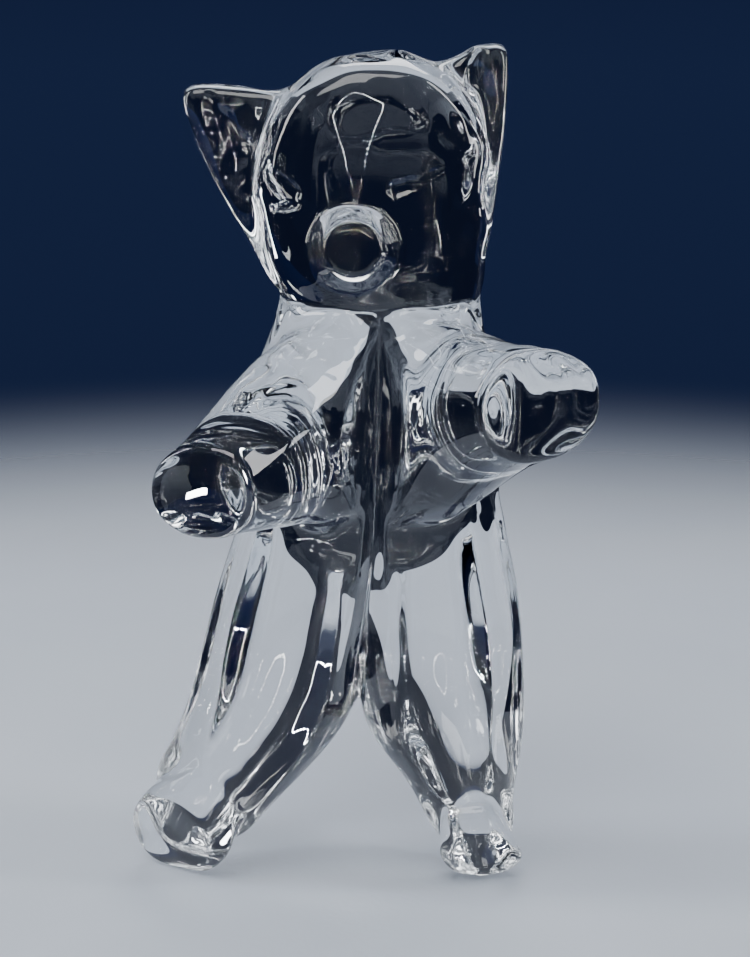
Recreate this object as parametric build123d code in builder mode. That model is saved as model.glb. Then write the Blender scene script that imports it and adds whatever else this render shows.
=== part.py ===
"""A hot-worked solid crystal bear: the gathers and bits that the glassmaker joins, one solid each.

Millimetres, +Z up. The bear faces -Y, so its own left side is at +X.
The origin is the centre of the overall footprint, on the surface that the feet stand on.
"""

from build123d import *

import os

# Driving dimensions. Each row of a lobe is x, y, z of its centre, then half height (arms) or
# half width (legs), then the half size across it.
RIGHT_ARM = [
    (-3, -5, 98.5, 21.0, 15.0),
    (-14, -15, 98.0, 18.5, 13.0),
    (-24, -29, 94.5, 13.0, 10.8),
    (-31.2, -42, 92.8, 9.4, 9.4),
]
LEFT_ARM = [
    (5, -5, 99.5, 21.0, 15.0),
    (15, -15, 100.5, 18.5, 13.5),
    (23.5, -29, 105.0, 13.5, 11.5),
    (29.8, -42, 109.0, 10.2, 10.2),
]
RIGHT_LEG = [
    (-12.5, 1.5, 78, 15.5, 17.0),
    (-16.8, 1.0, 55, 17.0, 17.5),
    (-21.5, 0.0, 36, 16.5, 16.0),
    (-31.0, -2.0, 20, 12.6, 12.5),
    (-41.0, -5.0, 5, 11.0, 10.5),
    (-47.0, -7.5, -4, 10.8, 10.0),
]
LEFT_LEG = [
    (12.5, 1.5, 78, 15.5, 17.0),
    (14.0, 1.0, 55, 16.8, 17.5),
    (14.6, 0.0, 38, 16.2, 16.0),
    (18.5, -2.5, 22, 11.2, 12.5),
    (21.8, -5.0, 9, 8.8, 10.0),
    (23.6, -7.5, -2, 8.8, 9.2),
]
CHEST = [
    (0.0, 3, 70, 28.2, 17.6),
    (0.2, 3.5, 80, 26.0, 17.4),
    (0.5, 4, 90, 24.8, 17.5),
    (1.0, 3, 106, 22.5, 16.5),
    (1.5, 1, 123, 19.0, 13.0),
]
COLLAR = [
    (1.5, 1, 123, 19.0, 13.0),
    (0.8, 1, 134, 19.5, 14.0),
    (0.5, 1, 142, 18.5, 13.5),
]

NECK_Z = 123.0
WAIST_Z = 75.0
SHOULDER_X = 17.5  # where each arm's gather was joined on, from the body's centre line
SHOULDER_Y = -12.0
SHOULDER_Z = 98.0
ARM_LEAN = 0.35  # how far the shoulder seams turn to face forwards
CREASE_FOOT = (-4.2, 0, 36)  # two points on the crease between the legs
CREASE_HEAD = (0.4, 0, 77)
PAW_ROUND = 3.0

# The head is a pebble standing on edge, flat at the front. Each row is y, half width, half height.
HEAD_CENTRE = (0.2, 144.8)
FACE_Y = -16.5
HEAD = [
    (FACE_Y, 15.5, 17.4),
    (-13.0, 19.0, 21.2),
    (-6.0, 21.2, 23.9),
    (3.0, 20.8, 23.4),
    (10.0, 16.5, 18.5),
    (15.5, 9.0, 10.0),
]
HEAD_BACK_ROUND = 3.0

MUZZLE_CENTRE = (-3.5, 134.6)
MUZZLE_TIP_Y = -25.0
MUZZLE_BASE_R = 8.2
MUZZLE_TIP_R = 5.6
MUZZLE_ROUND = 1.8
MUZZLE_SUNK = 3.0  # how deep the muzzle's root starts behind the face, before the head is cut away

# The pinched eyes: the middle of the ball that would fit each dimple, and its radius.
EYES = [((6.2, -17.6, 146.8), 2.6), ((-16.4, -15.2, 145.6), 2.8)]

EAR_FRONT_Y = -2.0
EAR_THICK = 8.0
EAR_ROUND = 3.4
EAR_CORNER = 3.6
EAR_ROOT_X = 9.0  # the ear's outline closes this far from the centre line, inside the head
EAR_ROOT_DROP = 4.0
EAR_FREE_X = 20.1  # corners further out than this are on the free edge and are rounded off
# The free edge of each ear, x and z from the side of the neck up over the tip.
RIGHT_EAR_EDGE = [(-17.5, 123), (-36.9, 156.8), (-34.3, 163.8), (-18.0, 161.3)]
LEFT_EAR_EDGE = [(20.0, 124), (26.9, 161.0), (24.6, 170.2), (20.3, 170.2), (10.0, 161.0)]

# The sole of each foot: a point on it and the way it faces.
RIGHT_SOLE = ((-42.0, -6.5, 9.6), (-0.52, -0.755, -0.40))
LEFT_SOLE = ((23.4, -12.4, 8.4), (0.07, -0.85, -0.52))


def section_planes(rows, lateral):
    """A plane at each row of a lobe, square to the line of centres, with its X along lateral."""
    centres = [Vector(*row[:3]) for row in rows]
    planes = []
    for i, centre in enumerate(centres):
        before, after = centres[max(i - 1, 0)], centres[min(i + 1, len(centres) - 1)]
        along = (after - before).normalized()
        across = (lateral - along * lateral.dot(along)).normalized()
        planes.append(Plane(origin=centre, x_dir=across, z_dir=along))
    return planes


def lobe(rows, lateral):
    """A tapered gather lofted through an ellipse at each row."""
    with BuildPart() as gather:
        for row, plane in zip(rows, section_planes(rows, lateral)):
            with BuildSketch(plane):
                Ellipse(row[3], row[4])
        loft()
    return gather.part


def column(rows):
    """An upright gather lofted through a level ellipse at each row."""
    with BuildPart() as gather:
        for x, y, z, half_width, half_depth in rows:
            with BuildSketch(Plane((x, y, z))):
                Ellipse(half_width, half_depth)
        loft()
    return gather.part


def crease_plane():
    """The upright plane between the legs, facing the bear's left."""
    along = (Vector(*CREASE_HEAD) - Vector(*CREASE_FOOT)).normalized()
    return Plane(origin=CREASE_FOOT, x_dir=(0, 1, 0), z_dir=Vector(0, 1, 0).cross(along))


def shoulder_plane(side):
    """The seam between the chest and an arm, facing out along the arm. side is -1 or 1."""
    return Plane(origin=(side * SHOULDER_X, SHOULDER_Y, SHOULDER_Z), z_dir=(side, -ARM_LEAN, 0))


def make_arm(rows, side):
    """One arm, from its shoulder seam to its blunt, rounded paw."""
    gather = lobe(rows, Vector(0, 0, 1))
    with BuildPart() as arm:
        add(gather)
        split(bisect_by=shoulder_plane(side), keep=Keep.TOP)
        paw_end = arm.faces().filter_by(GeomType.PLANE).sort_by(Axis.Y)[0]
        fillet(paw_end.edges(), PAW_ROUND)
    return arm


def make_leg(rows, side, sole):
    """One leg, from the waist to a foot with a tilted sole and a small flat to stand on."""
    gather = lobe(rows, Vector(1, 0, 0))
    with BuildPart() as leg:
        add(gather)
        split(bisect_by=Plane.XY.offset(WAIST_Z), keep=Keep.BOTTOM)
        split(bisect_by=crease_plane(), keep=Keep.TOP if side > 0 else Keep.BOTTOM)
        split(bisect_by=Plane(origin=sole[0], z_dir=sole[1]), keep=Keep.BOTTOM)
        split(bisect_by=Plane.XY, keep=Keep.TOP)
    return leg


def inner_lobe(rows, side):
    """The part of an arm's gather that lies on the chest, inside the shoulder seam."""
    gather = lobe(rows, Vector(0, 0, 1))
    with BuildPart() as inner:
        add(gather)
        split(bisect_by=shoulder_plane(side), keep=Keep.BOTTOM)
    return inner.part


def make_torso():
    """The chest, from the waist to the neck, with the inner end of each arm's lobe on its front."""
    chest = column(CHEST)
    right_inner = inner_lobe(RIGHT_ARM, -1)
    left_inner = inner_lobe(LEFT_ARM, 1)
    with BuildPart() as torso:
        add(chest)
        split(bisect_by=Plane.XY.offset(WAIST_Z), keep=Keep.TOP)
        split(bisect_by=Plane.XY.offset(NECK_Z), keep=Keep.BOTTOM)
        split(bisect_by=shoulder_plane(-1), keep=Keep.BOTTOM)
        split(bisect_by=shoulder_plane(1), keep=Keep.BOTTOM)
        add(right_inner)
        add(left_inner)
    return torso


def make_head():
    """A flat-faced pebble, taller than wide, with a short collar below and two eye dimples."""
    x, z = HEAD_CENTRE
    collar = column(COLLAR)
    with BuildPart() as pebble:
        for y, half_width, half_height in HEAD:
            with BuildSketch(Plane(origin=(x, y, z), x_dir=(1, 0, 0), z_dir=(0, 1, 0))):
                Ellipse(half_width, half_height)
        loft()
        back = pebble.faces().sort_by(Axis.Y)[-1]
        fillet(back.edges(), HEAD_BACK_ROUND)
    with BuildPart() as head:
        add(pebble.part)
        add(collar)
        split(bisect_by=Plane.XY.offset(NECK_Z), keep=Keep.TOP)
        for place, radius in EYES:
            with Locations(place):
                Sphere(radius, mode=Mode.SUBTRACT)
    return head


def make_muzzle(head):
    """A short round bit pressed on the face, with a blunt tip."""
    x, z = MUZZLE_CENTRE
    with BuildPart() as muzzle:
        with BuildSketch(Plane(origin=(x, MUZZLE_TIP_Y, z), z_dir=(0, 1, 0))):
            Circle(MUZZLE_TIP_R)
        with BuildSketch(Plane(origin=(x, FACE_Y + MUZZLE_SUNK, z), z_dir=(0, 1, 0))):
            Circle(MUZZLE_BASE_R)
        loft()
        tip = muzzle.faces().sort_by(Axis.Y)[0]
        fillet(tip.edges(), MUZZLE_ROUND)
        add(head.part, mode=Mode.SUBTRACT)
    return muzzle


def make_ear(edge, side, head):
    """A flat leaf from the neck to the ear's tip, rounded along its free edge."""
    root = side * EAR_ROOT_X
    top = edge[-1][1] - EAR_ROOT_DROP
    outline = edge + [(root, top), (root, edge[0][1])]
    with BuildPart() as ear:
        with BuildSketch(Plane((0, EAR_FRONT_Y, 0), x_dir=(1, 0, 0), z_dir=(0, -1, 0))):
            with BuildLine():
                Polyline(outline, close=True)
            make_face()
            corners = [v for v in vertices() if side * v.X > EAR_FREE_X]
            fillet(corners, EAR_CORNER)
        extrude(amount=-EAR_THICK)
        front = ear.faces().sort_by(Axis.Y)[0]
        back = ear.faces().sort_by(Axis.Y)[-1]
        fillet(front.edges() + back.edges(), EAR_ROUND)
        add(head.part, mode=Mode.SUBTRACT)
    return ear


def footprint_middle(parts):
    """The middle of the overall footprint."""
    boxes = [part.bounding_box() for part in parts]
    x = (min(box.min.X for box in boxes) + max(box.max.X for box in boxes)) / 2
    y = (min(box.min.Y for box in boxes) + max(box.max.Y for box in boxes)) / 2
    return Vector(x, y, 0)


right_arm = make_arm(RIGHT_ARM, -1)
left_arm = make_arm(LEFT_ARM, 1)
right_leg = make_leg(RIGHT_LEG, -1, RIGHT_SOLE)
left_leg = make_leg(LEFT_LEG, 1, LEFT_SOLE)
torso = make_torso()
head = make_head()
muzzle = make_muzzle(head)
right_ear = make_ear(RIGHT_EAR_EDGE, -1, head)
left_ear = make_ear(LEFT_EAR_EDGE, 1, head)

pieces = {
    "torso": torso,
    "head": head,
    "muzzle": muzzle,
    "right_ear": right_ear,
    "left_ear": left_ear,
    "right_arm": right_arm,
    "left_arm": left_arm,
    "right_leg": right_leg,
    "left_leg": left_leg,
}
os.makedirs("parts", exist_ok=True)
middle = footprint_middle([piece.part for piece in pieces.values()])
for name, piece in pieces.items():
    placed = piece.part.moved(Location(-middle))
    placed.label = name
    export_step(placed, f"parts/{name}.step")
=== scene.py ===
"""Looks of the hot-worked solid crystal bear.

The bear is one smooth implicit surface, worked out in the CAD's millimetres, meshed, and then sawn
along the CAD's seams into one closed piece for each CAD node. The sawn faces carry a material that
light passes straight through, so the pieces read as one continuous mass of glass.
"""

import math

import bmesh
import bpy
import numpy as np
from mathutils import Matrix, Vector


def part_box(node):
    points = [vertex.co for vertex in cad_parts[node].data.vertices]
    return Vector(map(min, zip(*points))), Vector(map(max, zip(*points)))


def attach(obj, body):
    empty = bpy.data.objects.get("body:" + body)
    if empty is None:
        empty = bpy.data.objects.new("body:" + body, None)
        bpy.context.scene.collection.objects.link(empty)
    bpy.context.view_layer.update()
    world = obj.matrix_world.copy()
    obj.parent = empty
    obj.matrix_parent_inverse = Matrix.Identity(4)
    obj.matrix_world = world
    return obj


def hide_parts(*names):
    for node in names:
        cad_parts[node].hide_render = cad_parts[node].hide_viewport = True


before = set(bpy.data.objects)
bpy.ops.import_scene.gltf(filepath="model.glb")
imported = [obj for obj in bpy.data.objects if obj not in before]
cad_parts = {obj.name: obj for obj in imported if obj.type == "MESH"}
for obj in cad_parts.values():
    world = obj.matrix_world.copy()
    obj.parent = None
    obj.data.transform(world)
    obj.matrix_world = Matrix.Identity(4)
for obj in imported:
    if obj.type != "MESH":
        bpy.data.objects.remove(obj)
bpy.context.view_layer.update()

MM = 0.001

# ---------------------------------------------------------------- the CAD's own millimetres
# The glass is described in the same millimetres as the CAD source, before its last step moves the
# middle of the footprint to the origin. The head's box tells how far that step moved everything.
HEAD_X, HEAD_FRONT_Y = 0.2, -16.5
head_low, head_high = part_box("head")
SHIFT = np.array([(head_low.x + head_high.x) / 2 / MM - HEAD_X, head_low.y / MM - HEAD_FRONT_Y, 0.0])

NECK_Z = 123.0
WAIST_Z = 75.0
SHOULDER = np.array([17.5, -12.0, 98.0])  # a point on the left shoulder's seam
ARM_LEAN = 0.35  # how far the shoulder seams turn to face forwards
CREASE_FOOT = np.array([-4.2, 0.0, 36.0])  # two points on the seam between the legs
CREASE_HEAD = np.array([0.4, 0.0, 77.0])
MUZZLE_SEAM = 0.8  # how far in front of the face's apex the muzzle's seam lies
RIGHT_EAR_SEAM = ((-18.0, 0, 125.0), (-0.997, 0, -0.072))  # a point on each seam, and its facing
LEFT_EAR_SEAM = ((20.2, 0, 128.0), (0.979, 0, 0.204))

VOXEL = 0.56
TINY = 1e-9  # keeps square roots off zero

# ---------------------------------------------------------------- smooth building blocks


def smin(a, b, k):
    """Union of two distance fields, blended over a width k, smooth to the second derivative."""
    h = np.maximum(k - np.abs(a - b), 0.0) / k
    return np.minimum(a, b) - h * h * h * k / 6


def smax(a, b, k):
    """Intersection of two distance fields, blended over a width k."""
    return -smin(-a, -b, k)


def curve(xs, ys):
    """A natural cubic spline through (xs, ys), held at its end values outside them."""
    xs, ys = np.asarray(xs, float), np.asarray(ys, float)
    n, h = len(xs), np.diff(xs)
    a, b = np.eye(n), np.zeros(n)
    for i in range(1, n - 1):
        a[i, i - 1 : i + 2] = h[i - 1], 2 * (h[i - 1] + h[i]), h[i]
        b[i] = 6 * ((ys[i + 1] - ys[i]) / h[i] - (ys[i] - ys[i - 1]) / h[i - 1])
    m = np.linalg.solve(a, b)

    def at(x):
        x = np.clip(x, xs[0], xs[-1])
        k = np.clip(np.searchsorted(xs, x, side="right") - 1, 0, n - 2)
        p, q, w = xs[k + 1] - x, x - xs[k], h[k]
        cubic = (m[k] * p**3 + m[k + 1] * q**3) / (6 * w)
        return cubic + (ys[k] / w - m[k] * w / 6) * p + (ys[k + 1] / w - m[k + 1] * w / 6) * q

    return at


def unit(v):
    v = np.asarray(v, float)
    return v / np.linalg.norm(v)


def plane(x, y, z, point, normal):
    """Signed distance past a plane."""
    n = unit(normal)
    return (x - point[0]) * n[0] + (y - point[1]) * n[1] + (z - point[2]) * n[2]


def power_norm(u, v, n):
    return (np.abs(u) ** n + np.abs(v) ** n + TINY) ** (1 / n)


def ellipsoid(x, y, z, centre, radii):
    """Roughly the distance to an ellipsoid."""
    px, py, pz = (x - centre[0]) / radii[0], (y - centre[1]) / radii[1], (z - centre[2]) / radii[2]
    k0 = np.sqrt(px**2 + py**2 + pz**2) + 1e-6
    k1 = np.sqrt((px / radii[0]) ** 2 + (py / radii[1]) ** 2 + (pz / radii[2]) ** 2) + 1e-6
    return k0 * (k0 - 1) / k1


def capsule(x, y, z, a, b, r0, r1):
    """Distance to a bar with round ends, of radius r0 at a and r1 at b."""
    a, b = np.asarray(a, float), np.asarray(b, float)
    d = b - a
    t = ((x - a[0]) * d[0] + (y - a[1]) * d[1] + (z - a[2]) * d[2]) / d.dot(d)
    t = np.clip(t, 0, 1)
    t = t * t * (3 - 2 * t)
    ax, ay, az = x - a[0] - t * d[0], y - a[1] - t * d[1], z - a[2] - t * d[2]
    return np.sqrt(ax**2 + ay**2 + az**2 + TINY) - (r0 + (r1 - r0) * t)


class Ripple:
    """Slow random waves over the surface, as hot working leaves them."""

    def __init__(self, seed, count, longest, shortest):
        rng = np.random.default_rng(seed)
        ways = rng.normal(size=(count, 3))
        self.ways = ways / np.linalg.norm(ways, axis=1)[:, None]
        self.lengths = rng.uniform(shortest, longest, count)
        self.phases = rng.uniform(0, 2 * np.pi, count)

    def at(self, x, y, z):
        total = 0.0
        for way, length, phase in zip(self.ways, self.lengths, self.phases):
            w = 2 * np.pi / length
            total = total + np.sin(w * (way[0] * x + way[1] * y + way[2] * z) + phase)
        return total / math.sqrt(len(self.phases))


# ---------------------------------------------------------------- the lobes
# Legs and trunk: z, centre x, half width, centre y, half depth.
RIGHT_LEG = np.array(
    [
        (-6, -52.0, 11.4, -8.5, 9.5),
        (0, -47.4, 12.0, -7.0, 10.4),
        (5, -42.9, 12.4, -5.6, 11.2),
        (10, -38.8, 12.9, -4.2, 12.0),
        (20, -31.5, 14.7, -2.0, 13.8),
        (30, -24.6, 16.5, -0.6, 15.6),
        (40, -19.6, 17.3, 0.4, 17.0),
        (50, -17.0, 17.4, 1.0, 17.8),
        (60, -15.0, 16.9, 1.4, 17.8),
        (70, -13.2, 15.4, 1.8, 17.2),
        (80, -11.8, 13.8, 2.2, 16.2),
        (90, -11.0, 12.6, 2.6, 15.0),
    ]
)
LEFT_LEG = np.array(
    [
        (-6, 24.2, 8.8, -8.5, 8.8),
        (0, 23.8, 8.5, -7.0, 9.4),
        (5, 22.9, 8.7, -5.6, 10.0),
        (10, 21.5, 9.0, -4.4, 10.6),
        (17, 19.6, 10.0, -3.2, 11.8),
        (24, 17.8, 12.5, -1.8, 13.4),
        (31, 15.6, 15.4, -0.6, 15.2),
        (40, 14.3, 17.0, 0.4, 16.8),
        (50, 13.9, 17.2, 1.0, 17.6),
        (60, 13.1, 16.8, 1.4, 17.6),
        (70, 12.5, 15.0, 1.8, 17.0),
        (80, 12.0, 13.4, 2.2, 16.0),
        (90, 11.4, 12.4, 2.6, 15.0),
    ]
)
TRUNK = np.array(
    [
        (62, 0.0, 21.0, 4.0, 15.0),
        (72, 0.0, 24.0, 4.0, 16.5),
        (82, 0.2, 24.5, 4.0, 17.0),
        (94, 0.5, 25.0, 4.0, 17.5),
        (106, 1.0, 23.5, 3.4, 16.8),
        (115, 1.3, 21.0, 2.4, 15.2),
        (122, 1.5, 19.2, 1.4, 13.4),
        (130, 1.2, 18.8, 1.0, 13.0),
    ]
)
# Arms: centre x, y, z, half height, half depth, from the crease out to the paw.
RIGHT_ARM = np.array(
    [
        (4.0, -1.0, 98.8, 22.5, 15.0),
        (-5.0, -8.0, 98.8, 21.5, 14.0),
        (-14.0, -17.0, 98.0, 18.6, 12.4),
        (-23.0, -28.0, 95.0, 13.2, 11.2),
        (-31.2, -40.0, 92.6, 9.2, 10.2),
        (-36.5, -47.5, 91.4, 9.0, 10.0),
    ]
)
LEFT_ARM = np.array(
    [
        (-3.0, -1.0, 99.6, 22.5, 15.0),
        (6.0, -8.0, 99.8, 21.5, 14.0),
        (15.0, -17.0, 101.4, 18.2, 12.6),
        (23.0, -28.0, 105.2, 13.0, 11.6),
        (29.8, -40.0, 109.0, 10.4, 10.6),
        (34.0, -47.0, 111.0, 10.2, 10.4),
    ]
)
RIGHT_PAW_END = ((-31.6, -41.0, 92.6), (-0.30, -0.93, -0.06))
LEFT_PAW_END = ((30.2, -41.2, 109.2), (0.16, -0.97, 0.10))
# Each sole: a point on it, the way it faces, and its half width and half height.
RIGHT_SOLE = ((-42.5, -4.7, 10.4), (-0.50, -0.77, -0.40), 10.9, 12.8)
LEFT_SOLE = ((23.7, -11.5, 10.2), (0.07, -0.85, -0.52), 7.3, 10.3)
SOLE_FLARE = 1.2  # how fast the foot widens behind its sole
DISH_DEPTH, DISH_RADIUS = 0.8, 6.5  # how far the paws and soles sink in their middles
ANKLE_DEPTH, ANKLE_BACK, ANKLE_WIDTH = 1.5, 5.4, 2.0  # the groove round each ankle
LEG_POWER, ARM_POWER, TRUNK_POWER, SOLE_POWER = 2.35, 2.15, 2.3, 2.2  # how square each section is
# The flats down a leg: outward and backward parts of the way each faces, its reach and its blend.
LEG_FLATS = [
    (0.0, -1.0, 0.86, 3.0),
    (0.86, -0.50, 0.93, 1.8),
    (-0.80, -0.60, 0.94, 1.8),
    (0.66, 0.75, 0.88, 3.0),
    (-0.74, 0.67, 0.90, 3.0),
]
RIM_BLEND, SOLE_BLEND, PAW_BLEND = 2.0, 1.8, 2.8
ARM_ROOT, ARM_ROOT_BLEND = 2.0, 4.0  # how far behind its first row an arm ends, inside the trunk


def upright(x, y, z, rows, power):
    """A lobe whose level sections are superellipses, with its normalised coordinates."""
    zs = rows[:, 0]
    cx, a, cy, b = (curve(zs, rows[:, i])(z) for i in range(1, 5))
    u, v = (x - cx) / a, (y - cy) / b
    return (power_norm(u, v, power) - 1) * np.minimum(a, b), u, v, np.minimum(a, b)


def dished(x, y, z, point, facing):
    """Signed distance past a flat end that sinks slightly towards its middle."""
    away = (x - point[0]) ** 2 + (y - point[1]) ** 2 + (z - point[2]) ** 2
    return plane(x, y, z, point, facing) + DISH_DEPTH * np.exp(-away / DISH_RADIUS**2)


def leg(x, y, z, rows, side, sole):
    """A leg with a flattish front, bevelled sides and a tilted sole behind an ankle groove."""
    f, u, v, size = upright(x, y, z, rows, LEG_POWER)
    for outward, backward, reach, blend in LEG_FLATS:
        f = smax(f, (side * outward * u + backward * v - reach) * size, blend)
    point, facing, half_width, half_height = sole
    past = plane(x, y, z, point, facing)
    across = unit(np.cross((0, 0, 1), facing))
    upwards = np.cross(unit(facing), across)
    a, b = plane(x, y, z, point, across) / half_width, plane(x, y, z, point, upwards) / half_height
    rim = (power_norm(a, b, SOLE_POWER) - 1) * half_width - SOLE_FLARE * np.maximum(-past, 0)
    f = f + ANKLE_DEPTH * np.exp(-(((past + ANKLE_BACK) / ANKLE_WIDTH) ** 2))
    f = smax(f, rim, RIM_BLEND)
    return smax(f, dished(x, y, z, point, facing), SOLE_BLEND)


def arm(x, y, z, rows, end):
    """An arm: a tall wedge at the chest that tapers and turns into a round, blunt paw."""
    first, last = rows[0, :3], rows[-1, :3]
    d = unit(last - first)
    up = unit(np.array([0, 0, 1.0]) - d * d[2])
    out = np.cross(d, up)
    s_rows = (rows[:, :3] - first) @ d
    px, py, pz = x - first[0], y - first[1], z - first[2]
    s = px * d[0] + py * d[1] + pz * d[2]
    off = rows[:, :3] - first - s_rows[:, None] * d
    h = px * up[0] + py * up[1] + pz * up[2] - curve(s_rows, off @ up)(s)
    w = px * out[0] + py * out[1] + pz * out[2] - curve(s_rows, off @ out)(s)
    a, b = curve(s_rows, rows[:, 3])(s), curve(s_rows, rows[:, 4])(s)
    f = (power_norm(h / a, w / b, ARM_POWER) - 1) * np.minimum(a, b)
    f = smax(f, dished(x, y, z, *end), PAW_BLEND)
    return smax(f, -s - ARM_ROOT, ARM_ROOT_BLEND)


# ---------------------------------------------------------------- the head
HEAD_CENTRE = np.array([0.2, -0.5, 144.6])
HEAD_WIDE, HEAD_TALL = 21.0, 24.2  # half sizes
HEAD_FRONT, HEAD_BACK = 20.5, 16.6  # how deep the pebble would be before the face is cut
HEAD_OUTLINE_POWER, HEAD_SIDE_POWER = 2.35, 2.5
HEAD_SCALE = 16.0
FACE_APEX = np.array([-3.4, -15.6, 146.5])
FACE_TALL_R = 96.0
RIDGE_R, RIDGE_GAIN, RIDGE_Z, RIDGE_SPREAD = 25.0, 27.0, 144.0, 5.0  # radius at the nose, and above
FACE_BLEND = 3.0
CHEEKS = [(-13.3, 146.6, 0.75), (8.6, 146.8, 0.95)]  # x and z of each facet's middle, and its cut
CHEEK_BLEND = 0.5
COLLAR = np.array(
    [
        (112, 1.5, 17.0, 2.0, 12.0),
        (120, 1.5, 18.6, 1.4, 13.4),
        (124, 1.5, 19.6, 0.6, 14.6),
        (130, 1.0, 20.4, 0.2, 15.4),
        (138, 0.6, 20.6, 0.2, 15.4),
        (150, 0.2, 19.0, 0.0, 14.0),
    ]
)
COLLAR_LOW, COLLAR_TOP, COLLAR_POWER, COLLAR_BLEND = 117, 146, 2.4, 5.0

NOSE_X, MUZZLE_Z = -3.5, 133.8
MUZZLE_DROOP = 0.12
MUZZLE_ROOT_Y, MUZZLE_TIP_Y, MUZZLE_SUNK_Y = -16, -25.0, -6
MUZZLE_RADIUS = curve([-28, -24, -20, -16.5, -12], [5.2, 5.5, 6.2, 7.8, 9.4])  # by y
MUZZLE_SLOPE = 0.96  # scales the taper back to a distance
MUZZLE_TIP_BLEND, MUZZLE_ROOT_BLEND = 2.2, 3.0


def face_slopes(x, z):
    """The face's depth behind its apex, and its slopes: a ridge that narrows towards the nose."""
    wide_r = RIDGE_R + RIDGE_GAIN / (1 + np.exp(-(z - RIDGE_Z) / RIDGE_SPREAD))
    bend = 1 / (2 * wide_r)
    dx, dz = x - FACE_APEX[0], z - FACE_APEX[2]
    return dx**2 * bend + dz**2 / (2 * FACE_TALL_R), 2 * dx * bend, dz / FACE_TALL_R


def head_field(x, y, z):
    """A pebble on edge with a bowed face and two shallow oval cheek facets."""
    hx, hy, hz = x - HEAD_CENTRE[0], y - HEAD_CENTRE[1], z - HEAD_CENTRE[2]
    ring = power_norm(hx / HEAD_WIDE, hz / HEAD_TALL, HEAD_OUTLINE_POWER)
    deep = np.where(hy < 0, HEAD_FRONT, HEAD_BACK)
    f = (power_norm(ring, hy / deep, HEAD_SIDE_POWER) - 1) * HEAD_SCALE
    depth, gx, gz = face_slopes(x, z)
    f = smax(f, (FACE_APEX[1] + depth - y) / np.sqrt(1 + gx**2 + gz**2), FACE_BLEND)
    collar = upright(x, y, z, COLLAR, COLLAR_POWER)[0]
    collar = smax(smax(collar, z - COLLAR_TOP, 6), COLLAR_LOW - z, 4)
    f = smin(f, collar, COLLAR_BLEND)
    for cx, cz, cut in CHEEKS:
        depth, gx, gz = face_slopes(cx, cz)
        flat = FACE_APEX[1] + depth + cut + gx * (x - cx) + gz * (z - cz)
        f = smax(f, (flat - y) / math.sqrt(1 + gx**2 + gz**2), CHEEK_BLEND)
    return f


def muzzle_field(x, y, z):
    """A short round bit with a blunt tip on the face."""
    rise = MUZZLE_Z - MUZZLE_DROOP * (y - MUZZLE_ROOT_Y)
    r = np.sqrt((x - NOSE_X) ** 2 + (z - rise) ** 2 + TINY)
    f = (r - MUZZLE_RADIUS(y)) * MUZZLE_SLOPE
    f = smax(f, MUZZLE_TIP_Y - y, MUZZLE_TIP_BLEND)
    return smax(f, y - MUZZLE_SUNK_Y, MUZZLE_ROOT_BLEND)


# The walls of each ear: a point and an outward direction in x and z, and the blend with the last.
RIGHT_EAR_WALLS = [
    ((-18.9, 123.0), (-0.876, -0.482), 4),
    ((-37.0, 158.8), (-0.985, -0.17), 9),
    ((-31.0, 163.9), (-0.10, 1.0), 8),
    ((-24.7, 162.6), (0.15, 0.989), 6),
    ((-8.0, 140.0), (1.0, 0.0), 4),
]
LEFT_EAR_WALLS = [
    ((21.4, 127.4), (0.987, -0.158), 4),
    ((27.7, 162.0), (0.998, 0.06), 6),
    ((22.9, 172.3), (0.0, 1.0), 7),
    ((16.7, 168.2), (-0.54, 0.842), 8),
    ((8.0, 140.0), (-1.0, 0.0), 4),
]
EAR_FRONT_Y, EAR_BACK_Y, EAR_LEAN, EAR_BLEND = -2.4, 6.4, 0.02, 5.0
EAR_LEAN_Z = 150  # the height at which the leaning ears have those front and back planes
EAR_LOW, SCOOP_BLEND, EAR_HEAD_BLEND = 124, 1.6, 4.4
RIGHT_SCOOP = ((-27.0, -12.4, 152.0), (9.0, 11.0, 17.0))  # the ball that hollows an ear's front
LEFT_SCOOP = ((21.5, -11.6, 158.0), (5.0, 10.4, 14.0))
# Folds down the ears, as runs between two points.
RIGHT_FOLD = [
    ((-31.0, -2.5, 160.6), (-24.5, -2.7, 152.3)),
    ((-24.5, -2.7, 152.3), (-20.6, -7.0, 147.3)),
    ((-20.6, -7.0, 147.3), (-17.6, -10.7, 134.0)),
]
LEFT_FOLD = [
    ((20.4, -1.8, 169.0), (19.0, -2.5, 163.0)),
    ((19.0, -2.5, 163.0), (17.4, -6.8, 158.7)),
    ((17.4, -6.8, 158.7), (16.4, -10.1, 146.0)),
]
FOLD_START_R, FOLD_END_R, FOLD_BLEND = 1.2, 1.6, 0.8
# Each pinch or tool mark at an eye: its two ends and its radius at each.
EYE_MARKS = [
    ((4.9, -15.2, 144.4), (8.0, -14.2, 145.2), 2.1, 1.8),
    ((7.4, -13.8, 145.6), (17.2, -10.9, 149.0), 1.1, 0.7),
    ((-15.6, -13.8, 143.6), (-19.4, -10.2, 147.0), 2.3, 1.9),
    ((-14.6, -13.6, 141.4), (-18.2, -10.6, 140.4), 1.2, 1.0),
]
EYE_BLEND = 0.7


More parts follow.
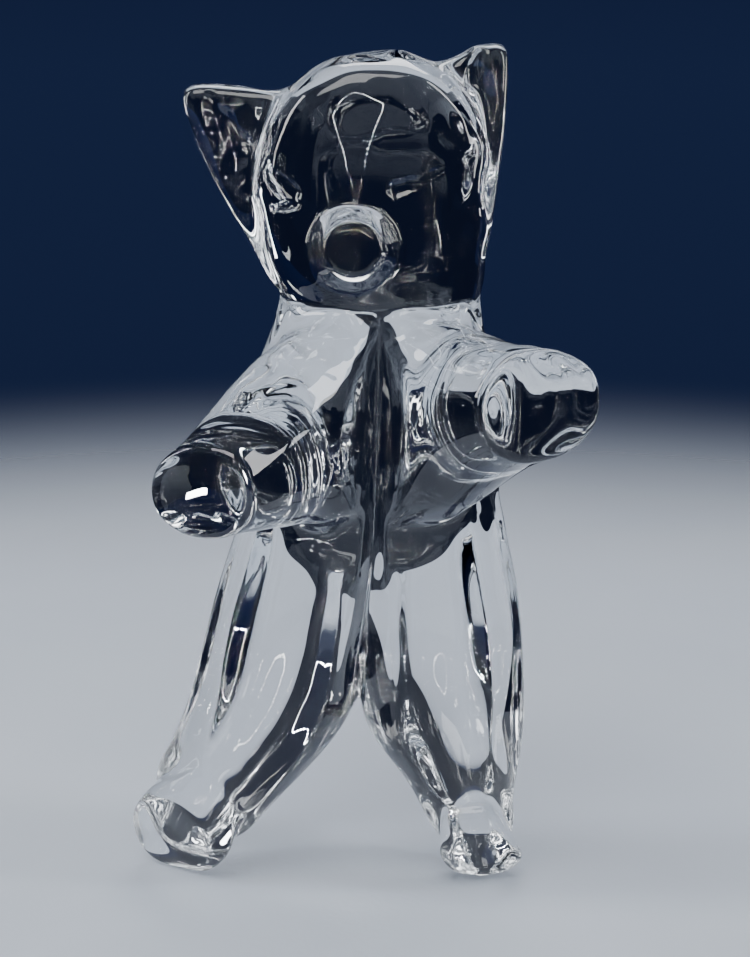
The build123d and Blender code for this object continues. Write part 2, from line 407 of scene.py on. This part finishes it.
def ear(x, y, z, walls, scoop, folds):
    """A flat leaf inside its walls, scooped in front, with a fold down it."""
    f = None
    for (wx, wz), (nx, nz), blend in walls:
        w = plane(x, y, z, (wx, 0, wz), (nx, 0, nz))
        f = w if f is None else smax(f, w, blend)
    yy = y - EAR_LEAN * (z - EAR_LEAN_Z)
    f = smax(f, EAR_FRONT_Y - yy, EAR_BLEND)
    f = smax(f, yy - EAR_BACK_Y, EAR_BLEND)
    f = smax(f, -ellipsoid(x, y, z, *scoop), SCOOP_BLEND)
    for start, end in folds:
        f = smax(f, -capsule(x, y, z, start, end, FOLD_START_R, FOLD_END_R), FOLD_BLEND)
    return f


BODY_RIPPLE = Ripple(11, 7, 46.0, 20.0)
FINE_RIPPLE = Ripple(23, 9, 13.0, 6.0)
BODY_WAVE, FACE_CALM, FINE_WAVE = 0.26, 0.22, 0.23  # heights of the waves
# Where the fine waves lie, and how far they spread: round the neck and waist, by height, and in the
# webs between the ears and the head, by x.
NECK_WAVES, WAIST_WAVES = (118, 7.0), (80, 5.0)
RIGHT_WEB, LEFT_WEB = (-21.6, 3.6), (20.0, 2.8)
WAIST_SHARE, WEB_SHARE, CROWN_SHARE = 0.7, 1.5, 0.6  # how strong each is beside the neck's

# The crease down the front: its x and the depth of its root, by height.
CREASE_X = curve([20, 40, 55, 66, 78, 90, 105, 122], [-5.6, -3.9, -1.9, -0.4, 0.4, 0.8, 1.2, 1.6])
FURROW = curve(
    [20, 34, 50, 66, 80, 95, 110, 118, 124],
    [-1.0, -2.5, -4.0, -5.5, -7.0, -8.5, -9.5, -10.5, -13.0],
)
FURROW_FLOOR = 0.4  # half width of its rounded root
FURROW_SIDES, BACK_FURROW_SIDES = (0.93, 0.37), (0.62, 0.78)  # how its sides face: across, and in
FURROW_TOP, FURROW_BLEND = 120.5, 2.2
BACK_FURROW_Y, BACK_FURROW_TOP, BACK_FURROW_BLEND = 16.5, 112, 5.0
LEG_TOP, TRUNK_TOP, TRUNK_LOW = 88, 128, 64  # where the lobes end, hidden in each other
CREASE_BLEND, CHEST_BLEND, WAIST_BLEND, MUZZLE_BLEND, NECK_BLEND, BASE_BLEND = 1.6, 7.0, 3.0, 1.6, 1.8, 1.8


def body_field(x, y, z):
    """Legs, trunk and arms, with the furrow down the front and a gentler one down the back."""
    right_leg = smax(leg(x, y, z, RIGHT_LEG, -1, RIGHT_SOLE), z - LEG_TOP, 8)
    left_leg = smax(leg(x, y, z, LEFT_LEG, 1, LEFT_SOLE), z - LEG_TOP, 8)
    legs = smin(right_leg, left_leg, CREASE_BLEND)
    trunk = upright(x, y, z, TRUNK, TRUNK_POWER)[0]
    trunk = smax(smax(trunk, z - TRUNK_TOP, 4), TRUNK_LOW - z, 8)
    right_arm = arm(x, y, z, RIGHT_ARM, RIGHT_PAW_END)
    left_arm = arm(x, y, z, LEFT_ARM, LEFT_PAW_END)
    chest = smin(trunk, smin(right_arm, left_arm, CREASE_BLEND), CHEST_BLEND)
    f = smin(legs, chest, WAIST_BLEND)

    away = np.sqrt((x - CREASE_X(z)) ** 2 + FURROW_FLOOR**2)
    across, inwards = FURROW_SIDES
    groove = away * across - (FURROW(z) - y) * inwards
    f = smax(f, -smax(groove, z - FURROW_TOP, 3), FURROW_BLEND)
    across, inwards = BACK_FURROW_SIDES
    back = away * across - (y - BACK_FURROW_Y) * inwards
    return smax(f, -smax(back, z - BACK_FURROW_TOP, 5), BACK_FURROW_BLEND)


def whole_head_field(x, y, z):
    """The head with its muzzle, ears and pinched eyes."""
    f = smin(head_field(x, y, z), muzzle_field(x, y, z), MUZZLE_BLEND)
    right_ear = ear(x, y, z, RIGHT_EAR_WALLS, RIGHT_SCOOP, RIGHT_FOLD)
    left_ear = ear(x, y, z, LEFT_EAR_WALLS, LEFT_SCOOP, LEFT_FOLD)
    ears = smax(smin(right_ear, left_ear, 1.0), EAR_LOW - z, 3)
    f = smin(f, ears, EAR_HEAD_BLEND)
    for start, end, start_r, end_r in EYE_MARKS:
        f = smax(f, -capsule(x, y, z, start, end, start_r, end_r), EYE_BLEND)
    return f


def bell(at, place):
    """1 at the place's middle, fading over its spread."""
    middle, spread = place
    return np.exp(-(((at - middle) / spread) ** 2))


def waves(x, y, z):
    """Slow waves everywhere but on the pressed face, and fine ones where the gathers were joined."""
    on_face = np.clip((-y - 4) / 6, 0, 1) * np.clip((z - 124) / 8, 0, 1)
    slow = (BODY_WAVE - FACE_CALM * on_face) * BODY_RIPPLE.at(x, y, z)
    webs = (bell(x, RIGHT_WEB) + bell(x, LEFT_WEB)) * np.clip((z - 124) / 10, 0, 1)
    crown = np.clip((z - 160) / 6, 0, 1) * np.clip((22 - np.abs(x)) / 5, 0, 1)
    joins = bell(z, NECK_WAVES) + WAIST_SHARE * bell(z, WAIST_WAVES)
    near_joins = joins + WEB_SHARE * webs + CROWN_SHARE * crown
    return slow + FINE_WAVE * near_joins * FINE_RIPPLE.at(x, y, z)


def field(x, y, z):
    """Distance to the glass, negative inside, in millimetres."""
    f = smin(body_field(x, y, z), whole_head_field(x, y, z), NECK_BLEND)
    return smax(f, -z, BASE_BLEND) + waves(x, y, z)


def gradient(points, step=0.06):
    """The field's gradient at each point, by central differences."""
    g = np.empty_like(points)
    for axis in range(3):
        ahead, behind = points.copy(), points.copy()
        ahead[:, axis] += step
        behind[:, axis] -= step
        g[:, axis] = (field(*ahead.T) - field(*behind.T)) / (2 * step)
    return g


# ---------------------------------------------------------------- from field to mesh


def sample(low, high, step):
    """The field on a grid, worked out in level slabs, and the grid's coordinates."""
    axes = [np.arange(low[i], high[i] + step, step) for i in range(3)]
    values = np.empty([len(a) for a in axes], np.float32)
    slab = 12
    for k in range(0, len(axes[2]), slab):
        x, y, z = np.meshgrid(axes[0], axes[1], axes[2][k : k + slab], indexing="ij", sparse=True)
        values[:, :, k : k + slab] = field(x, y, z)
    return values, axes


def surface_nets(values, axes, step):
    """A quad mesh of the zero level: one vertex in each cell that the surface crosses."""
    inside = values < 0
    shape = [n - 1 for n in values.shape]
    total = np.zeros(shape + [3], np.float32)
    count = np.zeros(shape, np.float32)
    offsets = np.array([(i, j, k) for i in (0, 1) for j in (0, 1) for k in (0, 1)])

    def corner(o):
        return tuple(slice(o[a], o[a] + shape[a]) for a in range(3))

    for i, a in enumerate(offsets):
        for b in offsets[i + 1 :]:
            if np.abs(a - b).sum() != 1:
                continue
            va, vb = values[corner(a)], values[corner(b)]
            cross = inside[corner(a)] != inside[corner(b)]
            t = np.where(cross, va / np.where(cross, va - vb, 1), 0)
            for axis in range(3):
                total[..., axis] += np.where(cross, a[axis] + t * (b[axis] - a[axis]), 0)
            count += cross
    active = count > 0
    index = np.full(shape, -1, np.int64)
    index[active] = np.arange(active.sum())
    cells = np.argwhere(active)
    points = cells + total[active] / count[active][:, None]
    points = points * step + np.array([a[0] for a in axes])

    quads = []
    for axis in range(3):
        b, c = (axis + 1) % 3, (axis + 2) % 3
        lo = [slice(None)] * 3
        hi = [slice(None)] * 3
        lo[axis], hi[axis] = slice(0, -1), slice(1, None)
        change = inside[tuple(lo)] != inside[tuple(hi)]
        edges = np.argwhere(change)
        clear = (edges[:, b] > 0) & (edges[:, c] > 0) & (edges[:, b] < shape[b]) & (edges[:, c] < shape[c])
        edges = edges[clear]
        outward = inside[tuple(edges.T)]
        ring = []
        for db, dc in ((-1, -1), (0, -1), (0, 0), (-1, 0)):
            cell = edges.copy()
            cell[:, b] += db
            cell[:, c] += dc
            ring.append(index[tuple(cell.T)])
        ring = np.stack(ring, 1)
        quads.append(np.where(outward[:, None], ring, ring[:, ::-1]))
    return points, np.concatenate(quads)


def onto_surface(points, rounds=4):
    """Moves each point along the gradient until it lies on the zero level."""
    for _ in range(rounds):
        g = gradient(points)
        move = field(*points.T) / np.maximum((g**2).sum(1), 1e-4)
        points = points - g * np.clip(move, -0.5, 0.5)[:, None]
    return points


# ---------------------------------------------------------------- sawing the glass into pieces
FIELD_LOW, FIELD_HIGH = (-56, -50, -2), (42, 26, 174)
SEAM = 1  # the material slot of the sawn faces; slot 0 is the glass
SAW_SNAP = 1e-4


def glass_mesh():
    """The whole bear as one closed bmesh, in design millimetres."""
    values, axes = sample(FIELD_LOW, FIELD_HIGH, VOXEL)
    points, quads = surface_nets(values, axes, VOXEL)
    points = onto_surface(points)
    mesh = bpy.data.meshes.new("whole")
    mesh.from_pydata(points.tolist(), [], quads.tolist())
    bm = bmesh.new()
    bm.from_mesh(mesh)
    bpy.data.meshes.remove(mesh)
    return bm


def half(bm, point, normal):
    """Keeps the side behind the plane and closes the cut with seam faces."""
    geometry = bm.verts[:] + bm.edges[:] + bm.faces[:]
    bmesh.ops.bisect_plane(
        bm, geom=geometry, dist=SAW_SNAP, plane_co=point, plane_no=normal, clear_outer=True
    )
    rims = [e for e in bm.edges if e.is_boundary]
    made = bmesh.ops.holes_fill(bm, edges=rims, sides=0)["faces"]
    for face in made:
        face.material_index = SEAM
        face.normal_update()
    return bm


def saw(bm, point, normal):
    """Cuts a closed mesh in two: (the part behind the plane, the part the plane faces)."""
    other = bm.copy()
    return half(bm, point, normal), half(other, point, [-n for n in normal])


def crystal_pieces():
    """One closed bmesh for each CAD node."""
    crease_along = unit(CREASE_HEAD - CREASE_FOOT)
    crease_normal = np.cross((0, 1, 0), crease_along)
    face_point = FACE_APEX - (0, MUZZLE_SEAM, 0)
    pieces = {}
    body, top = saw(glass_mesh(), (0, 0, NECK_Z), (0, 0, 1))
    top, pieces["muzzle"] = saw(top, face_point, (0, -1, 0))
    top, pieces["right_ear"] = saw(top, *RIGHT_EAR_SEAM)
    pieces["head"], pieces["left_ear"] = saw(top, *LEFT_EAR_SEAM)
    legs, chest = saw(body, (0, 0, WAIST_Z), (0, 0, 1))
    pieces["right_leg"], pieces["left_leg"] = saw(legs, CREASE_FOOT, crease_normal)
    for side, name in ((-1, "right_arm"), (1, "left_arm")):
        chest, pieces[name] = saw(chest, SHOULDER * (side, 1, 1), unit((side, -ARM_LEAN, 0)))
    pieces["torso"] = chest
    return pieces


def finished_piece(name, bm, materials):
    """A mesh object in metres, with the field's own normals on its glass and flat seams."""
    bmesh.ops.triangulate(bm, faces=[f for f in bm.faces if f.material_index == SEAM])
    mesh = bpy.data.meshes.new(name)
    bm.to_mesh(mesh)
    bm.free()
    points = np.empty(len(mesh.vertices) * 3)
    mesh.vertices.foreach_get("co", points)
    points = points.reshape(-1, 3)
    normals = gradient(points)
    normals /= np.linalg.norm(normals, axis=1)[:, None]

    mesh.vertices.foreach_set("co", ((points + SHIFT) * MM).ravel())
    for material in materials:
        mesh.materials.append(material)
    mesh.polygons.foreach_set("use_smooth", np.ones(len(mesh.polygons), bool))
    mesh.update()

    corner_vertex = np.empty(len(mesh.loops), np.int64)
    mesh.loops.foreach_get("vertex_index", corner_vertex)
    corner_normal = normals[corner_vertex]
    for polygon in mesh.polygons:
        if polygon.material_index == SEAM:
            corners = slice(polygon.loop_start, polygon.loop_start + polygon.loop_total)
            corner_normal[corners] = polygon.normal
    mesh.normals_split_custom_set(corner_normal.tolist())
    obj = bpy.data.objects.new(name + "_glass", mesh)
    bpy.context.scene.collection.objects.link(obj)
    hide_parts(name)
    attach(obj, "root")
    return obj


# ---------------------------------------------------------------- materials


def first_output(source):
    """A socket as it is, or a node's first output."""
    return source if isinstance(source, bpy.types.NodeSocket) else source.outputs[0]


class Nodes:
    """A short way to write a material's or a world's node tree."""

    def __init__(self, owner, output="OutputMaterial"):
        owner.use_nodes = True
        self.owner = owner
        self.tree = owner.node_tree
        self.tree.nodes.clear()
        self.out = self.tree.nodes.new("ShaderNode" + output)

    def add(self, kind, links=None, **values):
        node = self.tree.nodes.new("ShaderNode" + kind)
        for key, value in values.items():
            if key in node.inputs.keys():
                node.inputs[key].default_value = value
            else:
                setattr(node, key, value)
        for key, source in (links or {}).items():
            self.tree.links.new(first_output(source), node.inputs[key])
        return node

    def ramp(self, socket, *stops):
        node = self.tree.nodes.new("ShaderNodeValToRGB")
        self.tree.links.new(first_output(socket), node.inputs["Fac"])
        elements = node.color_ramp.elements
        for _ in stops[2:]:
            elements.new(0.5)
        for element, (position, colour) in zip(elements, stops):
            element.position, element.color = position, (*colour, 1)
        return node.outputs["Color"]

    def surface(self, source):
        self.tree.links.new(first_output(source), self.out.inputs["Surface"])
        return self.owner


CLEAR = (0.985, 0.993, 1.0)
CRYSTAL_IOR = 1.545


def crystal_material():
    """Clear crystal: polished glass with faint drawn-out waves."""
    n = Nodes(bpy.data.materials.new("crystal"))
    place = n.add("TexCoord").outputs["Object"]
    stretched = n.add("Mapping", {"Vector": place}, Scale=(70.0, 70.0, 26.0))
    streaks = n.add("TexNoise", {"Vector": stretched}, Scale=1.0, Detail=1.5, Distortion=0.9)
    bump = n.add("Bump", {"Height": streaks.outputs["Fac"]}, Strength=0.35, Distance=0.0004)
    glass = n.add("BsdfGlass", {"Normal": bump}, Color=(*CLEAR, 1), Roughness=0.0, IOR=CRYSTAL_IOR)
    return n.surface(glass)


def seam_material():
    """The fused joins between the gathers: light passes straight through them."""
    n = Nodes(bpy.data.materials.new("fused_seam"))
    return n.surface(n.add("BsdfTransparent"))


POOL_INNER, POOL_OUTER = 0.17, 0.52  # where the painted pool of light on the floor begins to fade, and where it is gone


def floor_material():
    """Pale matt card with a very faint grain, and a painted pool of light: it fades into the dark world
    beyond.
    """
    n = Nodes(bpy.data.materials.new("pale_floor"))
    place = n.add("TexCoord").outputs["Object"]
    grain = n.add("TexVoronoi", {"Vector": place}, Scale=850.0, feature="SMOOTH_F1")
    soft = n.add("TexNoise", {"Vector": place}, Scale=9.0, Detail=3.0)
    tone = n.ramp(soft.outputs["Fac"], (0.3, (0.52, 0.58, 0.68)), (0.7, (0.57, 0.63, 0.72)))
    bump = n.add("Bump", {"Height": grain.outputs["Distance"]}, Strength=0.12, Distance=0.0003)
    card = n.add("BsdfPrincipled", {"Normal": bump, "Base Color": tone}, Roughness=0.6)
    # Painted pool of light: the card gives way to the dark world the farther it is from the middle.
    far = n.add("VectorMath", {"Vector": place}, operation="LENGTH").outputs["Value"]
    reach = {"From Min": POOL_INNER, "From Max": POOL_OUTER}
    painted_pool_fade = n.add("MapRange", {"Value": far}, interpolation_type="SMOOTHERSTEP", **reach)
    beyond = n.add("BsdfTransparent")
    return n.surface(n.add("MixShader", {"Fac": painted_pool_fade, 1: card, 2: beyond}))


def glow_material(name, colour, strength):
    n = Nodes(bpy.data.materials.new(name))
    return n.surface(n.add("Emission", Color=(*colour, 1), Strength=strength))


def link_in(name, data):
    obj = bpy.data.objects.new(name, data)
    bpy.context.scene.collection.objects.link(obj)
    return obj


# ---------------------------------------------------------------- building the bear
glass_materials = [crystal_material(), seam_material()]
for piece_name, piece_mesh in crystal_pieces().items():
    finished_piece(piece_name, piece_mesh, glass_materials)

# ---------------------------------------------------------------- floor, light and camera
FLOOR_RADIUS = 0.9
MIDDLE = Vector((0, 0, 0.085))  # where the panels are aimed


def disc(name, radius, z, sides=128):
    turns = np.linspace(0, 2 * np.pi, sides, endpoint=False)
    ring = [(radius * math.cos(a), radius * math.sin(a), z) for a in turns]
    mesh = bpy.data.meshes.new(name)
    mesh.from_pydata(ring, [], [list(range(sides))])
    obj = link_in(name, mesh)
    return obj


floor = disc("floor", FLOOR_RADIUS, 0.0)
floor.data.materials.append(floor_material())


def softbox(name, place, width, height, glow, colour=(1, 1, 1)):
    """A soft panel aimed at the bear. glow is how bright its face looks."""
    lamp = bpy.data.lights.new(name, "AREA")
    lamp.shape, lamp.size, lamp.size_y = "RECTANGLE", width, height
    lamp.energy, lamp.color = glow * math.pi * width * height, colour
    obj = link_in(name, lamp)
    obj.location = place
    obj.rotation_euler = (MIDDLE - Vector(place)).to_track_quat("-Z", "Y").to_euler()
    obj.visible_camera = False
    return obj


softbox("overhead", (-0.12, -0.40, 0.80), 0.60, 0.42, 6.0, (1.0, 0.99, 0.97))
softbox("left_panel", (-0.62, 0.02, 0.34), 0.14, 0.62, 12.0, (0.97, 0.98, 1.0))
softbox("right_panel", (0.62, -0.10, 0.38), 0.12, 0.60, 11.0, (0.97, 0.98, 1.0))
softbox("back_panel", (0.10, 0.62, 0.78), 0.70, 0.22, 7.0)
softbox("low_left", (-0.42, 0.34, 0.10), 0.05, 0.22, 14.0)
softbox("low_right", (0.44, 0.30, 0.12), 0.05, 0.24, 14.0)

# The flags' colour: a dark sheet, seen only in the glass, that paints dark reflections and refractions
# into it.
PAINTED_DARK_CARD = (0.004, 0.006, 0.016)


def flag(name, start, end, low_z, high_z):
    """A dark upright card that only the glass sees, so that its edges draw dark in it: a painted dark
    reflection and refraction.
    """
    mesh = bpy.data.meshes.new(name)
    corners = [(*start, low_z), (*end, low_z), (*end, high_z), (*start, high_z)]
    mesh.from_pydata(corners, [], [(0, 1, 2, 3)])
    mesh.materials.append(glow_material(name, PAINTED_DARK_CARD, 1.0))
    obj = link_in(name, mesh)
    obj.visible_camera = obj.visible_diffuse = obj.visible_shadow = False


flag("left_flag", (-0.125, -0.16), (-0.125, 0.32), 0.0, 0.12)
flag("right_flag", (0.125, -0.16), (0.125, 0.32), 0.0, 0.12)
flag("back_flag", (-0.22, 0.165), (0.22, 0.165), 0.016, 0.15)

world = bpy.data.worlds.new("studio")
bpy.context.scene.world = world
w = Nodes(world, "OutputWorld")
height = w.add("SeparateXYZ", {"Vector": w.add("TexCoord").outputs["Generated"]}).outputs["Z"]
lift = w.add("MapRange", {"Value": height}, **{"From Min": -1.0, "From Max": 1.0})
sky = w.ramp(
    lift,
    (0.0, (0.004, 0.007, 0.020)),
    (0.46, (0.010, 0.018, 0.055)),
    (0.54, (0.005, 0.009, 0.034)),
    (1.0, (0.002, 0.003, 0.010)),
)
w.surface(w.add("Background", {"Color": sky}, Strength=1.0))

# The camera stands where the photographer stood, 15 degrees above the bear.
CAMERA_ABOVE = math.radians(15)
CAMERA_AWAY = 0.450
LENS = 84.6
AIM = Vector(((0.6 + SHIFT[0]) * MM, SHIFT[1] * MM, 0.0846))
camera = link_in("camera", bpy.data.cameras.new("camera"))
camera.data.lens = LENS
camera.data.clip_start = 0.01
camera.location = AIM + CAMERA_AWAY * Vector((0, -math.cos(CAMERA_ABOVE), math.sin(CAMERA_ABOVE)))
camera.rotation_euler = (AIM - camera.location).to_track_quat("-Z", "Y").to_euler()
bpy.context.scene.camera = camera

# A ring of small lamps round the lens: its reflection draws thin dotted loops on the glass.
RING_RADIUS = 0.100
RING_LAMPS = 64
RING_DOT = 0.0032  # radius of each lamp
RING_AHEAD = 0.02  # how far the ring stands in front of the camera
RING_GLOW = 90.0


def ring_light():
    bm = bmesh.new()
    for turn in np.linspace(0, 2 * np.pi, RING_LAMPS, endpoint=False):
        across, up = RING_RADIUS * math.cos(turn), RING_RADIUS * math.sin(turn)
        place = Matrix.Translation((across, up, -RING_AHEAD))
        bmesh.ops.create_icosphere(bm, subdivisions=1, radius=RING_DOT, matrix=place)
    mesh = bpy.data.meshes.new("ring_light")
    bm.to_mesh(mesh)
    mesh.materials.append(glow_material("lamp_glow", (1, 1, 1), RING_GLOW))
    obj = link_in("ring_light", mesh)
    obj.location, obj.rotation_euler = camera.location, camera.rotation_euler
    obj.visible_camera = False
    obj.visible_diffuse = False


ring_light()

cycles = bpy.context.scene.cycles
cycles.max_bounces = 24
cycles.transmission_bounces = 24
cycles.glossy_bounces = 8
cycles.transparent_max_bounces = 40
cycles.sample_clamp_indirect = 0
